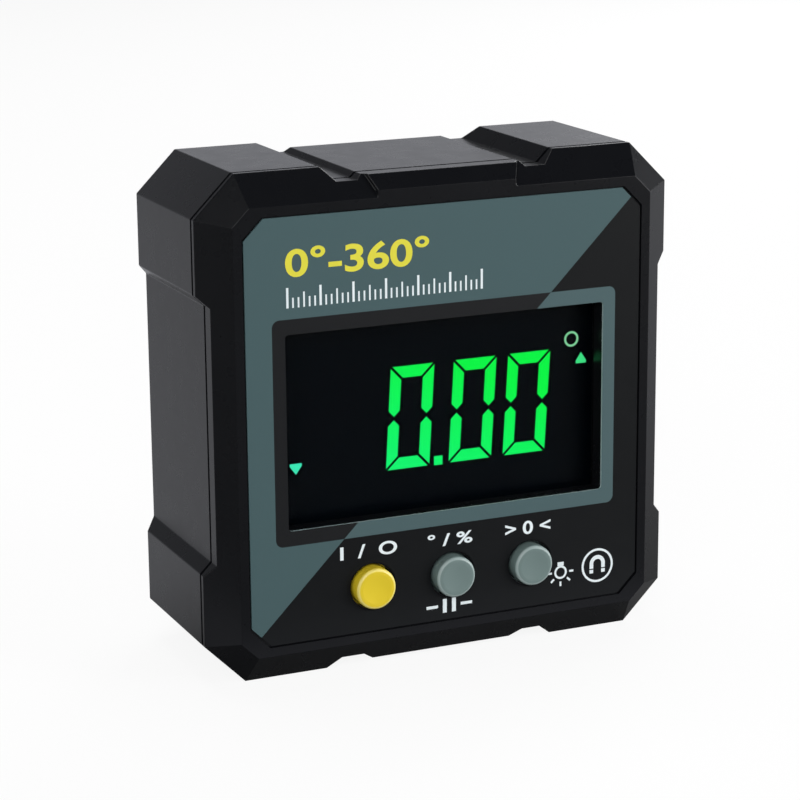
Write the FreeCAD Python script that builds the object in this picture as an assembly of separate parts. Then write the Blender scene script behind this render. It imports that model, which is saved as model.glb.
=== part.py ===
# Digital inclinometer: a square level gauge with a lit display, three push buttons,
# magnets in its feet and two small cells behind a sliding door.
# Millimetres. +Z is up, the display faces -Y, and the origin is under the middle of the gauge.
# Depths are counted from the flat front face towards the back.

import FreeCAD, Part
import math
import os

Vector = FreeCAD.Vector

# The cells, which set the size of the case
CELL_RADIUS = 5.25
CELL_LENGTH = 44.5
CELL_NUB_RADIUS = 1.9
CELL_NUB_HEIGHT = 0.9
CELL_RIM_RADIUS = 0.6
CELL_END_ROOM = 7.75
CELL_GAP = 0.4
CELL_SIDE_CLEARANCE = 0.25
CELL_BACK_CLEARANCE = 0.35
CELL_FLOOR_CLEARANCE = 0.1

# The case outline
CASE_SIZE = CELL_LENGTH + 2 * CELL_END_ROOM
CORNER_CHAMFER = 4.9
RECESS_DROP = 1.35
RECESS_HALF_LENGTH = 16.45
TOP_PAD_DROP = 1.0
TOP_NOTCH_WIDTH = 4.7
TOP_NOTCH_DROP = 1.6
BASE_PAD_STEP = 1.0
BASE_PAD_DROP = 0.55
BASE_PAD_RAMP = 1.4
BASE_NOTCH_DROP = 1.5

# Front cover
FRONT_WALL = 2.0
FRONT_BEVEL_INSET = 3.55
FRONT_BEVEL_DEPTH = 2.8
FRONT_CREASE_CHAMFER = 2.05
FRONT_LAND = 0.6
PAD_STEP = 0.5
PAD_BEVEL_INSET = 2.7
PAD_CREASE_STEP = 1.3
RIM_THICKNESS = 3.6
LIP_THICKNESS = 1.0
LIP_LENGTH = 1.0
LIP_CLEARANCE = 0.15
FRONT_EDGE_RADIUS = 0.15

# Rear cover
REAR_WALL = 2.0
REAR_BEVEL_INSET = 4.0
REAR_BEVEL_DEPTH = 4.4
REAR_CREASE_CHAMFER = 2.9
REAR_EDGE_RADIUS = 0.3
SEAM_GAP = 0.5
SEAM_GAP_INSET = 0.5

# Face label
LABEL_MARGIN = 4.85
LABEL_CHAMFER = 2.4
LABEL_THICKNESS = 0.25
LABEL_RECESS = 0.35
LABEL_CLEARANCE = 0.2

# Display, from the window back to the board
WINDOW_SIDE_MARGIN = 9.65
WINDOW_HEIGHT_SHARE = 0.3865
WINDOW_RADIUS = 0.4
LENS_LEDGE = 0.4
LENS_OVERLAP = 0.9
LENS_THICKNESS = 0.8
LENS_CLEARANCE = 0.1
COLLAR_THICKNESS = 1.2
GASKET_THICKNESS = 0.5
GASKET_INNER_STEP = 0.6
POLARIZER_THICKNESS = 0.2
POLARIZER_OVERLAP = 0.4
GLASS_THICKNESS = 1.1
GLASS_BORDER = 3.0
CONTACT_LEDGE = 2.0
GLASS_CLEARANCE = 0.2
BACKLIGHT_THICKNESS = 2.6
BACKLIGHT_BORDER = 1.4
FRAME_WALL = 1.0
STRIP_CLEARANCE = 0.1
STRIP_HALF_LENGTH_SHARE = 0.97
LED_SIZE = 1.2
LED_HEIGHT = 3.0
LED_DEPTH = 1.5
LED_SPREAD_SHARE = 0.5

# Board and what stands on it
BOARD_THICKNESS = 1.6
BOARD_MARGIN = 5.1
BOARD_BOSS_CLEARANCE = 0.4
BOARD_BACK_ROOM = 2.4
SENSOR_SIZE = 3.0
SENSOR_THICKNESS = 1.0
CHIP_SIZE = 10.0
CHIP_THICKNESS = 1.4
CHIP_CHAMFER = 0.8
CHIP_DROP = 12.0
CRYSTAL_LENGTH = 8.0
CRYSTAL_WIDTH = 3.4
CRYSTAL_THICKNESS = 2.0
CRYSTAL_END_SHARE = 0.95
CRYSTAL_DROP = 3.0
CAPACITOR_LENGTH = 2.0
CAPACITOR_WIDTH = 1.25
CAPACITOR_THICKNESS = 0.8
CAPACITOR_PITCH = 2.6
CAPACITOR_COUNT = 6
CAPACITOR_RISE = 6.0
POST_RADIUS = 2.0

# Buttons and their switches
BUTTON_NAMES = ("power", "hold", "zero")
BUTTON_RADIUS = 2.5
BUTTON_PROUD = 1.2
BUTTON_PITCH_SHARE = 0.507
BUTTON_DROP = 8.1
BUTTON_SHIFT = 0.42
BUTTON_RIM_RADIUS = 0.45
BUTTON_DISH_RADIUS = 1.8
BUTTON_DISH_DEPTH = 0.15
BUTTON_CLEARANCE = 0.25
BUTTON_FLANGE_WIDTH = 0.75
BUTTON_FLANGE_THICKNESS = 0.8
BUTTON_STEM_RADIUS = 1.5
BUTTON_TRAVEL = 0.4
LABEL_HOLE_STEP = 0.2
SWITCH_SIZE = 4.5
SWITCH_HEIGHT = 3.3
SWITCH_CHAMFER = 0.4
PLUNGER_RADIUS = 1.2
PLUNGER_PROUD = 1.0
PLUNGER_BURIED = 1.2
PLUNGER_CLEARANCE = 0.1

# Screws
CASE_SCREW_INSET = 7.2
CASE_SCREW_RADIUS = 1.1
CASE_SCREW_LENGTH = 16.0
CASE_HEAD_RADIUS = 2.1
CASE_HEAD_THICKNESS = 1.5
CASE_BOSS_RADIUS = 2.8
CASE_SINK_RADIUS = 2.4
CASE_SINK_DEPTH = 6.0
CASE_BOSS_BEHIND_BOARD = 1.7
BOARD_SCREW_RADIUS = 0.9
BOARD_SCREW_LENGTH = 4.6
BOARD_HEAD_RADIUS = 1.7
BOARD_HEAD_THICKNESS = 1.1
SCREW_FIT = 0.03
SCREW_HOLE_CLEARANCE = 0.15
SCREW_TIP_ROOM = 1.0
SLOT_WIDTH_SHARE = 0.24
SLOT_LENGTH_SHARE = 1.3
SLOT_DEPTH_SHARE = 0.5

# Battery bay and door
BAY_WALL = 1.2
BAY_FLOOR = 1.0
BAY_END_ROOM = 2.15
DOOR_TONGUE_THICKNESS = 1.05
DOOR_TONGUE_WIDTH = 1.2
DOOR_PLATE_THICKNESS = 1.3
DOOR_SIDE_CLEARANCE = 0.15
DOOR_FACE_CLEARANCE = 0.1
RAIL_WIDTH = 1.2
RAIL_FLOOR = 1.2
GRIP_COUNT = 5
GRIP_WIDTH = 11.0
GRIP_HEIGHT = 0.8
GRIP_PITCH = 1.7
GRIP_DEPTH = 0.4
GRIP_RISE = 9.0

# Battery contacts
CONTACT_THICKNESS = 0.3
CONTACT_HALF_WIDTH = 3.6
CONTACT_MARGIN = 0.6
CONTACT_DIMPLE_RADIUS = 1.4
CONTACT_DIMPLE_HEIGHT = 0.8
LEAF_HALF_WIDTH = 1.8
LEAF_FLAT_SHARE = 0.3
LEAF_FOOT = 0.8
LEAF_LIFT = 0.3
TAB_WIDTH = 1.6
TAB_CLEARANCE = 0.2

# Magnets in the feet
MAGNET_LENGTH = 15.0
MAGNET_WIDTH = 6.5
MAGNET_SIDE_MARGIN = 1.92
MAGNET_THICKNESS = 2.4
MAGNET_RECESS = 0.15
MAGNET_CLEARANCE = 0.1
MAGNET_ROOF = 1.4
MAGNET_WALL = 1.0
MAGNET_EDGE = 0.3

# How far a cut runs past what it cuts
OVERRUN = 1.0

# Depths of the stack, worked out from the sizes above
LENS_FRONT = FRONT_WALL + LENS_LEDGE
GASKET_FRONT = LENS_FRONT + LENS_THICKNESS
FRONT_GLASS = GASKET_FRONT + GASKET_THICKNESS
REAR_GLASS = FRONT_GLASS + GLASS_THICKNESS
REAR_POLARIZER = REAR_GLASS + GLASS_THICKNESS
BACKLIGHT_FRONT = REAR_POLARIZER + POLARIZER_THICKNESS
BOARD_FRONT = BACKLIGHT_FRONT + BACKLIGHT_THICKNESS
BOARD_BACK = BOARD_FRONT + BOARD_THICKNESS
BAY_FRONT = BOARD_BACK + BOARD_BACK_ROOM
BAY_INSIDE = BAY_FRONT + BAY_FLOOR
CELL_AXIS = BAY_INSIDE + CELL_FLOOR_CLEARANCE + CELL_RADIUS
DOOR_FRONT = CELL_AXIS + CELL_RADIUS + CELL_BACK_CLEARANCE
CASE_DEPTH = DOOR_FRONT + DOOR_TONGUE_THICKNESS + DOOR_PLATE_THICKNESS
SEAM = FRONT_BEVEL_DEPTH + FRONT_LAND
REAR_EDGE = CASE_DEPTH - REAR_BEVEL_DEPTH
REAR_INSIDE = CASE_DEPTH - REAR_WALL

# Places, worked out from the sizes above
HALF = CASE_SIZE / 2
FRONT_Y = (BUTTON_PROUD - CASE_DEPTH) / 2
FOOT_OUTER_X = HALF - CORNER_CHAMFER
FOOT_INNER_X = FOOT_OUTER_X - MAGNET_WIDTH - 2 * MAGNET_SIDE_MARGIN
TOP_PAD_HALF_WIDTH = FOOT_INNER_X - TOP_NOTCH_WIDTH
WINDOW_HALF_WIDTH = HALF - WINDOW_SIDE_MARGIN
WINDOW_HALF_HEIGHT = CASE_SIZE * WINDOW_HEIGHT_SHARE / 2
WINDOW_BOTTOM = HALF - WINDOW_HALF_HEIGHT
GLASS_HALF_WIDTH = WINDOW_HALF_WIDTH + GLASS_BORDER
GLASS_HALF_HEIGHT = WINDOW_HALF_HEIGHT + GLASS_BORDER
BACKLIGHT_HALF_WIDTH = WINDOW_HALF_WIDTH + BACKLIGHT_BORDER
BACKLIGHT_HALF_HEIGHT = WINDOW_HALF_HEIGHT + BACKLIGHT_BORDER
BUTTON_Z = WINDOW_BOTTOM - BUTTON_DROP
BUTTON_PITCH = WINDOW_HALF_WIDTH * BUTTON_PITCH_SHARE
BUTTON_XS = (BUTTON_SHIFT - BUTTON_PITCH, BUTTON_SHIFT, BUTTON_SHIFT + BUTTON_PITCH)
SCREW_OFFSET = HALF - CASE_SCREW_INSET
BOSS_END = BOARD_BACK + CASE_BOSS_BEHIND_BOARD
POST_X = (BUTTON_PITCH + SCREW_OFFSET) / 2
CELL_X = CELL_RADIUS + CELL_GAP / 2
BAY_HALF_WIDTH = CELL_X + CELL_RADIUS + CELL_SIDE_CLEARANCE
BAY_HALF_LENGTH = CELL_LENGTH / 2 + BAY_END_ROOM
DOOR_HALF_WIDTH = BAY_HALF_WIDTH + DOOR_TONGUE_WIDTH
TONGUE_HALF_WIDTH = DOOR_HALF_WIDTH + DOOR_TONGUE_WIDTH
DOOR_BOTTOM = HALF - BAY_HALF_LENGTH - BAY_WALL
MAGNET_X = (FOOT_INNER_X + FOOT_OUTER_X) / 2
MAGNET_DEPTH = (SEAM + REAR_EDGE) / 2


def slab(points, front, back):
    """A prism with its outline in the front view, between two depths."""
    corners = [Vector(x, FRONT_Y + front, z) for x, z in points]
    wire = Part.makePolygon(corners + corners[:1])
    return Part.Face(wire).extrude(Vector(0, back - front, 0))


def plate(half_width, half_height, x, z, front, back, radius=0):
    """A rectangular plate centred on x and z, with rounded corners if a radius is given."""
    box = Part.makeBox(2 * half_width, back - front, 2 * half_height,
                       Vector(x - half_width, FRONT_Y + front, z - half_height))
    if radius:
        edges = [e for e in box.Edges if e.Vertexes[0].Y != e.Vertexes[1].Y]
        box = box.makeFillet(radius, edges)
    return box


def block(x0, x1, z0, z1, front, back):
    """A plain rectangular block given by its sides."""
    return Part.makeBox(x1 - x0, back - front, z1 - z0, Vector(x0, FRONT_Y + front, z0))


def disc(radius, x, z, front, back):
    """A round bar that runs from front to back."""
    return Part.makeCylinder(radius, back - front, Vector(x, FRONT_Y + front, z), Vector(0, 1, 0))


def turned(profile, x, z):
    """A solid turned round a front-to-back axis, from (radius, depth) points."""
    corners = [Vector(x + r, FRONT_Y + d, z) for r, d in profile]
    face = Part.Face(Part.makePolygon(corners + corners[:1]))
    return face.revolve(Vector(x, 0, z), Vector(0, 1, 0), 360)


def parallel_cut(inset):
    """Corner cut that keeps every side of the case the same distance in."""
    return CORNER_CHAMFER - inset * (2 - math.sqrt(2))


def corner(side, cut):
    """Both ends of the upper right corner's cut, about the middle."""
    return [(side, side - cut), (side - cut, side)]


def cut_square(inset, cut):
    """Outline of the square case with its cut corners, moved in by the inset."""
    ring = []
    for turn in range(4):
        a = math.radians(90 * turn)
        for u, v in corner(HALF - inset, cut):
            ring.append((u * math.cos(a) - v * math.sin(a), HALF + u * math.sin(a) + v * math.cos(a)))
    return ring


def bevelled(sections):
    """A solid with flat sides through cut squares, from (inset, corner cut, depth) values."""
    wires = []
    for inset, cut, depth in sections:
        corners = [Vector(x, FRONT_Y + depth, z) for x, z in cut_square(inset, cut)]
        wires.append(Part.makePolygon(corners + corners[:1]))
    return Part.makeLoft(wires, True, True)


def case_outline(inset):
    """Outline of the case in the front view, with its side recesses and its notches."""
    slide = inset * math.tan(math.radians(22.5))
    side = HALF - inset
    top = CASE_SIZE - inset
    turn = corner(side, parallel_cut(inset))
    recess = RECESS_HALF_LENGTH + slide
    foot = FOOT_INNER_X + slide
    top_pad = TOP_PAD_HALF_WIDTH - slide
    base_pad = TOP_PAD_HALF_WIDTH - BASE_PAD_STEP - slide
    base = [(base_pad, inset + BASE_PAD_DROP),
            (base_pad + BASE_PAD_RAMP, inset + BASE_NOTCH_DROP),
            (foot - BASE_NOTCH_DROP, inset + BASE_NOTCH_DROP),
            (foot, inset)]
    flank = [(side, HALF - recess),
             (side - RECESS_DROP, HALF - recess + RECESS_DROP),
             (side - RECESS_DROP, HALF + recess - RECESS_DROP),
             (side, HALF + recess)]
    crown = [(foot, top),
             (foot - TOP_NOTCH_DROP, top - TOP_NOTCH_DROP),
             (top_pad + TOP_NOTCH_DROP - TOP_PAD_DROP, top - TOP_NOTCH_DROP),
             (top_pad, top - TOP_PAD_DROP)]
    lower = [(x, HALF - z) for x, z in reversed(turn)]
    upper = [(x, HALF + z) for x, z in turn]
    right = base + lower + flank + upper + crown
    return right + [(-x, z) for x, z in reversed(right)]


def soft_edged(solid, joint, radius):
    """The solid with all its edges rounded, apart from those in the plane where the covers meet."""
    plane = FRONT_Y + joint
    edges = [e for e in solid.Edges if max(abs(v.Y - plane) for v in e.Vertexes) > radius / 2]
    return solid.makeFillet(radius, edges)


def screw_places():
    """The four case screw centres in the front view."""
    return [(sx * SCREW_OFFSET, HALF + sz * SCREW_OFFSET) for sx in (-1, 1) for sz in (-1, 1)]


def post_places():
    """The four board screw centres in the front view."""
    return [(sx * POST_X, z) for sx in (-1, 1) for z in (BUTTON_Z, HALF + SCREW_OFFSET)]


def front_skin():
    """Outside form of the front cover: bevel, land and the raised pad at the top."""
    body = slab(case_outline(0), 0, SEAM)
    body = body.common(bevelled([(FRONT_BEVEL_INSET, FRONT_CREASE_CHAMFER, 0),
                                 (0, CORNER_CHAMFER, FRONT_BEVEL_DEPTH), (0, CORNER_CHAMFER, SEAM)]))
    pad_depth = PAD_BEVEL_INSET * FRONT_BEVEL_DEPTH / FRONT_BEVEL_INSET
    raised = bevelled([(PAD_BEVEL_INSET, FRONT_CREASE_CHAMFER, 0),
                       (0, CORNER_CHAMFER, pad_depth), (0, CORNER_CHAMFER, SEAM)])
    top = TOP_PAD_HALF_WIDTH - PAD_STEP
    crease = TOP_PAD_HALF_WIDTH - PAD_CREASE_STEP
    side = [(top, CASE_SIZE - TOP_PAD_DROP), (crease, CASE_SIZE - PAD_BEVEL_INSET),
            (crease, CASE_SIZE - RIM_THICKNESS)]
    pad = slab(side + [(-x, z) for x, z in reversed(side)], 0, SEAM)
    return body.fuse(pad.common(raised)).removeSplitter()


def front_cover():
    """Bezel with its bevel, window, button holes, label recess, collar, bosses and lip."""
    cover = soft_edged(front_skin(), SEAM, FRONT_EDGE_RADIUS)
    cover = cover.cut(slab(case_outline(RIM_THICKNESS), FRONT_WALL, SEAM + OVERRUN))
    lip_outer = REAR_WALL + LIP_CLEARANCE
    lip = slab(case_outline(lip_outer), SEAM, SEAM + LIP_LENGTH)
    lip = lip.cut(slab(case_outline(lip_outer + LIP_THICKNESS), SEAM, SEAM + LIP_LENGTH))
    rim = [lip]
    collar_step = LENS_OVERLAP + LENS_CLEARANCE + COLLAR_THICKNESS
    rim.append(plate(WINDOW_HALF_WIDTH + collar_step, WINDOW_HALF_HEIGHT + collar_step,
                     0, HALF, FRONT_WALL, GASKET_FRONT, COLLAR_THICKNESS))
    for x, z in screw_places():
        rim.append(disc(CASE_BOSS_RADIUS, x, z, FRONT_WALL, BOSS_END))
    for x, z in post_places():
        rim.append(disc(POST_RADIUS, x, z, FRONT_WALL, BOARD_FRONT))
    cover = cover.fuse(rim).removeSplitter()
    cuts = [
        slab(label_outline(LABEL_CLEARANCE), -OVERRUN, LABEL_RECESS),
        plate(WINDOW_HALF_WIDTH, WINDOW_HALF_HEIGHT, 0, HALF,
              -OVERRUN, GASKET_FRONT + OVERRUN, WINDOW_RADIUS),
        plate(WINDOW_HALF_WIDTH + LENS_OVERLAP + LENS_CLEARANCE,
              WINDOW_HALF_HEIGHT + LENS_OVERLAP + LENS_CLEARANCE,
              0, HALF, LENS_FRONT, GASKET_FRONT + OVERRUN),
    ]
    for x in BUTTON_XS:
        cuts.append(disc(BUTTON_RADIUS + BUTTON_CLEARANCE, x, BUTTON_Z, -OVERRUN, FRONT_WALL + OVERRUN))
    case_tip = CASE_DEPTH - CASE_SINK_DEPTH - CASE_SCREW_LENGTH - SCREW_TIP_ROOM
    for x, z in screw_places():
        cuts.append(disc(CASE_SCREW_RADIUS + SCREW_FIT, x, z, case_tip, BOSS_END + OVERRUN))
    board_tip = BOARD_BACK - BOARD_SCREW_LENGTH - SCREW_TIP_ROOM
    for x, z in post_places():
        cuts.append(disc(BOARD_SCREW_RADIUS + SCREW_FIT, x, z, board_tip, BOARD_FRONT + OVERRUN))
    return cover.cut(cuts)


def label_outline(grow=0):
    """Outline of the face label, grown by a clearance where it is the label's recess."""
    side = HALF - LABEL_MARGIN + grow
    cut = LABEL_CHAMFER
    corners = []
    for sx, sz in ((1, -1), (1, 1), (-1, 1), (-1, -1)):
        pair = [(sx * side, HALF + sz * (side - cut)), (sx * (side - cut), HALF + sz * side)]
        corners += pair if sx * sz > 0 else pair[::-1]
    return corners


def face_label():
    """Printed overlay with its window and button holes."""
    front = LABEL_RECESS - LABEL_THICKNESS
    label = slab(label_outline(), front, LABEL_RECESS)
    cuts = [plate(WINDOW_HALF_WIDTH, WINDOW_HALF_HEIGHT, 0, HALF,
                  front - OVERRUN, LABEL_RECESS + OVERRUN, WINDOW_RADIUS)]
    hole = BUTTON_RADIUS + BUTTON_CLEARANCE + LABEL_HOLE_STEP
    for x in BUTTON_XS:
        cuts.append(disc(hole, x, BUTTON_Z, front - OVERRUN, LABEL_RECESS + OVERRUN))
    return label.cut(cuts)


def rear_skin():
    """Outside form of the rear cover: straight sides, rear bevel and the seam groove."""
    sides = slab(case_outline(0), SEAM + SEAM_GAP, CASE_DEPTH)
    return sides.common(bevelled([(0, CORNER_CHAMFER, SEAM), (0, CORNER_CHAMFER, REAR_EDGE),
                                  (REAR_BEVEL_INSET, REAR_CREASE_CHAMFER, CASE_DEPTH)]))


def rear_cavity():
    """Hollow inside the rear cover, which follows its walls and its rear bevel."""
    slope = REAR_BEVEL_INSET / REAR_BEVEL_DEPTH
    stand_off = REAR_WALL * math.sqrt(1 + slope * slope)
    turn_depth = REAR_EDGE - (stand_off - REAR_WALL) / slope
    end_inset = stand_off + slope * (REAR_INSIDE - REAR_EDGE)
    hollow = slab(case_outline(REAR_WALL), SEAM - OVERRUN, REAR_INSIDE)
    inner_cut = parallel_cut(REAR_WALL)
    return hollow.common(bevelled([(REAR_WALL, inner_cut, SEAM - OVERRUN),
                                   (REAR_WALL, inner_cut, turn_depth),
                                   (end_inset, parallel_cut(end_inset), REAR_INSIDE)]))


def door_channel():
    """The T-shaped slot that the door slides up in, open at the top."""
    top = CASE_SIZE + OVERRUN
    wide = TONGUE_HALF_WIDTH + DOOR_SIDE_CLEARANCE
    narrow = DOOR_HALF_WIDTH + DOOR_SIDE_CLEARANCE
    shoulder = DOOR_FRONT + DOOR_TONGUE_THICKNESS + DOOR_FACE_CLEARANCE
    groove = block(-wide, wide, DOOR_BOTTOM, top, DOOR_FRONT - DOOR_FACE_CLEARANCE, shoulder)
    return groove.fuse(block(-narrow, narrow, DOOR_BOTTOM, top, DOOR_FRONT, CASE_DEPTH + OVERRUN))


def rear_cover():
    """Rear shell with corner blocks, battery bay, door rails, screw posts and magnet seats."""
    shell = soft_edged(rear_skin(), SEAM + SEAM_GAP, REAR_EDGE_RADIUS)
    neck = slab(case_outline(SEAM_GAP_INSET), SEAM, SEAM + SEAM_GAP)
    cavity = rear_cavity()
    rail = TONGUE_HALF_WIDTH + DOOR_SIDE_CLEARANCE + RAIL_WIDTH
    inner = [
        plate(BAY_HALF_WIDTH + BAY_WALL, BAY_HALF_LENGTH + BAY_WALL, 0, HALF, BAY_FRONT, REAR_INSIDE),
        block(-rail, rail, DOOR_BOTTOM - RAIL_WIDTH, CASE_SIZE, DOOR_FRONT - RAIL_FLOOR, REAR_INSIDE),
    ]
    for x, z in screw_places():
        inner.append(disc(CASE_SINK_RADIUS + REAR_WALL / 2, x, z, BOSS_END, REAR_INSIDE))
    roof = MAGNET_RECESS + MAGNET_THICKNESS + MAGNET_ROOF
    for side in (-1, 1):
        inner.append(block(side * MAGNET_X - MAGNET_WIDTH / 2 - MAGNET_WALL,
                           side * MAGNET_X + MAGNET_WIDTH / 2 + MAGNET_WALL, 0, roof,
                           MAGNET_DEPTH - MAGNET_LENGTH / 2 - MAGNET_WALL,
                           MAGNET_DEPTH + MAGNET_LENGTH / 2 + MAGNET_WALL))
    features = inner[0].fuse(inner[1:]).common(cavity)
    shell = shell.fuse(neck).cut(cavity).fuse(features).removeSplitter()
    cuts = [
        plate(BAY_HALF_WIDTH, BAY_HALF_LENGTH, 0, HALF, BAY_INSIDE, DOOR_FRONT),
        door_channel(),
    ]
    for side in (-1, 1):
        cuts.append(magnet_bar(side, MAGNET_CLEARANCE, MAGNET_RECESS + OVERRUN))
        cuts.append(block(side * CELL_X - TAB_WIDTH / 2 - TAB_CLEARANCE,
                          side * CELL_X + TAB_WIDTH / 2 + TAB_CLEARANCE,
                          HALF + BAY_HALF_LENGTH - CONTACT_THICKNESS - TAB_CLEARANCE,
                          HALF + BAY_HALF_LENGTH, BAY_FRONT - OVERRUN, BAY_INSIDE + OVERRUN))
    seat = CASE_DEPTH - CASE_SINK_DEPTH
    for x, z in screw_places():
        cuts.append(disc(CASE_SCREW_RADIUS + SCREW_HOLE_CLEARANCE, x, z,
                         BOSS_END - OVERRUN, seat + OVERRUN))
        cuts.append(disc(CASE_SINK_RADIUS, x, z, seat, CASE_DEPTH + OVERRUN))
    return shell.cut(cuts)


def battery_door():
    """Sliding door with side tongues, a bevelled top end and thumb grooves."""
    top = CASE_SIZE
    door = block(-TONGUE_HALF_WIDTH, TONGUE_HALF_WIDTH, DOOR_BOTTOM, top,
                 DOOR_FRONT, DOOR_FRONT + DOOR_TONGUE_THICKNESS)
    door = door.fuse(block(-DOOR_HALF_WIDTH, DOOR_HALF_WIDTH, DOOR_BOTTOM, top,
                           DOOR_FRONT + DOOR_TONGUE_THICKNESS, CASE_DEPTH))
    door = door.common(rear_skin()).removeSplitter()
    cuts = []
    for step in range(GRIP_COUNT):
        z = DOOR_BOTTOM + GRIP_RISE + step * GRIP_PITCH
        cuts.append(plate(GRIP_WIDTH / 2, GRIP_HEIGHT / 2, 0, z,
                          CASE_DEPTH - GRIP_DEPTH, CASE_DEPTH + OVERRUN))
    return door.cut(cuts)


def magnet_bar(side, grow, drop):
    """One bar magnet, or its pocket where it is grown by a clearance and run out below."""
    return block(side * MAGNET_X - MAGNET_WIDTH / 2 - grow, side * MAGNET_X + MAGNET_WIDTH / 2 + grow,
                 MAGNET_RECESS - drop, MAGNET_RECESS + MAGNET_THICKNESS,
                 MAGNET_DEPTH - MAGNET_LENGTH / 2 - grow, MAGNET_DEPTH + MAGNET_LENGTH / 2 + grow)


def base_magnets():
    """The two bar magnets, one in each foot."""
    bars = []
    for side in (-1, 1):
        bar = magnet_bar(side, 0, 0)
        edges = [e for e in bar.Edges if e.Vertexes[0].Z != e.Vertexes[1].Z]
        bars.append(bar.makeChamfer(MAGNET_EDGE, edges))
    return Part.makeCompound(bars)


def display_window():
    """Clear pane that seats on the ledge behind the window."""
    return plate(WINDOW_HALF_WIDTH + LENS_OVERLAP, WINDOW_HALF_HEIGHT + LENS_OVERLAP,
                 0, HALF, LENS_FRONT, GASKET_FRONT)


def display_gasket():
    """Foam ring between the collar and the front glass."""
    outer = LENS_OVERLAP + LENS_CLEARANCE + COLLAR_THICKNESS
    ring = plate(WINDOW_HALF_WIDTH + outer, WINDOW_HALF_HEIGHT + outer, 0, HALF,
                 GASKET_FRONT, FRONT_GLASS, COLLAR_THICKNESS)
    return ring.cut(plate(WINDOW_HALF_WIDTH + GASKET_INNER_STEP, WINDOW_HALF_HEIGHT + GASKET_INNER_STEP,
                          0, HALF, GASKET_FRONT - OVERRUN, FRONT_GLASS + OVERRUN))


def polarizer(front):
    """One polarizing film."""
    return plate(WINDOW_HALF_WIDTH + POLARIZER_OVERLAP, WINDOW_HALF_HEIGHT + POLARIZER_OVERLAP,
                 0, HALF, front, front + POLARIZER_THICKNESS)


def lcd_front_glass():
    """Front glass, taller than the rear one so that its contact ledge is bare."""
    low = HALF - GLASS_HALF_HEIGHT
    high = HALF + GLASS_HALF_HEIGHT + CONTACT_LEDGE
    return block(-GLASS_HALF_WIDTH, GLASS_HALF_WIDTH, low, high, FRONT_GLASS, REAR_GLASS)


def lcd_rear_glass():
    """Rear glass of the display."""
    return plate(GLASS_HALF_WIDTH, GLASS_HALF_HEIGHT, 0, HALF, REAR_GLASS, REAR_POLARIZER)


def strip_space(clearance):
    """Room of the rubber contact strip between the bare ledge and the board."""
    half = GLASS_HALF_WIDTH * STRIP_HALF_LENGTH_SHARE - BACKLIGHT_BORDER
    low = HALF + GLASS_HALF_HEIGHT + STRIP_CLEARANCE - clearance
    high = HALF + GLASS_HALF_HEIGHT + CONTACT_LEDGE - STRIP_CLEARANCE + clearance
    return block(-half - clearance, half + clearance, low, high, REAR_GLASS, BOARD_FRONT)


def led_spaces(clearance):
    """The two side lights of the backlight, or their pockets."""
    spaces = []
    for side in (-1, 1):
        z = HALF + side * BACKLIGHT_HALF_HEIGHT * LED_SPREAD_SHARE
        x = -BACKLIGHT_HALF_WIDTH - LED_SIZE / 2
        spaces.append(plate(LED_SIZE / 2 + clearance, LED_HEIGHT / 2 + clearance, x, z,
                            BOARD_FRONT - LED_DEPTH - clearance, BOARD_FRONT))
    return spaces


def lcd_frame():
    """Tray that holds the glass, the backlight and the contact strip on the board."""
    grow = GLASS_CLEARANCE + FRAME_WALL
    low = HALF - GLASS_HALF_HEIGHT
    high = HALF + GLASS_HALF_HEIGHT + CONTACT_LEDGE
    tray = block(-GLASS_HALF_WIDTH - grow, GLASS_HALF_WIDTH + grow, low - grow, high + grow,
                 FRONT_GLASS, BOARD_FRONT)
    cuts = [
        block(-GLASS_HALF_WIDTH - GLASS_CLEARANCE, GLASS_HALF_WIDTH + GLASS_CLEARANCE,
              low - GLASS_CLEARANCE, high + GLASS_CLEARANCE, FRONT_GLASS - OVERRUN, REAR_POLARIZER),
        plate(BACKLIGHT_HALF_WIDTH + GLASS_CLEARANCE, BACKLIGHT_HALF_HEIGHT + GLASS_CLEARANCE,
              0, HALF, REAR_POLARIZER - OVERRUN, BOARD_FRONT + OVERRUN),
        strip_space(STRIP_CLEARANCE),
    ]
    return tray.cut(cuts + led_spaces(STRIP_CLEARANCE))


def backlight_panel():
    """Light guide behind the glass."""
    return plate(BACKLIGHT_HALF_WIDTH, BACKLIGHT_HALF_HEIGHT, 0, HALF, BACKLIGHT_FRONT, BOARD_FRONT)


def main_board():
    """Circuit board, cut away round the case bosses and drilled for its screws."""
    board = plate(HALF - BOARD_MARGIN, HALF - BOARD_MARGIN, 0, HALF, BOARD_FRONT, BOARD_BACK)
    cuts = []
    for x, z in screw_places():
        cuts.append(disc(CASE_BOSS_RADIUS + BOARD_BOSS_CLEARANCE, x, z,
                         BOARD_FRONT - OVERRUN, BOARD_BACK + OVERRUN))
        x0, x1 = sorted((x, math.copysign(HALF, x)))
        z0, z1 = sorted((z, HALF + math.copysign(HALF, z - HALF)))
        cuts.append(block(x0, x1, z0, z1, BOARD_FRONT - OVERRUN, BOARD_BACK + OVERRUN))
    for x, z in post_places():
        cuts.append(disc(BOARD_SCREW_RADIUS + SCREW_HOLE_CLEARANCE, x, z,
                         BOARD_FRONT - OVERRUN, BOARD_BACK + OVERRUN))
    return board.cut(cuts)


def accelerometer_chip():
    """Tilt sensor in the middle of the board's back."""
    return plate(SENSOR_SIZE / 2, SENSOR_SIZE / 2, 0, HALF, BOARD_BACK, BOARD_BACK + SENSOR_THICKNESS)


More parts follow.
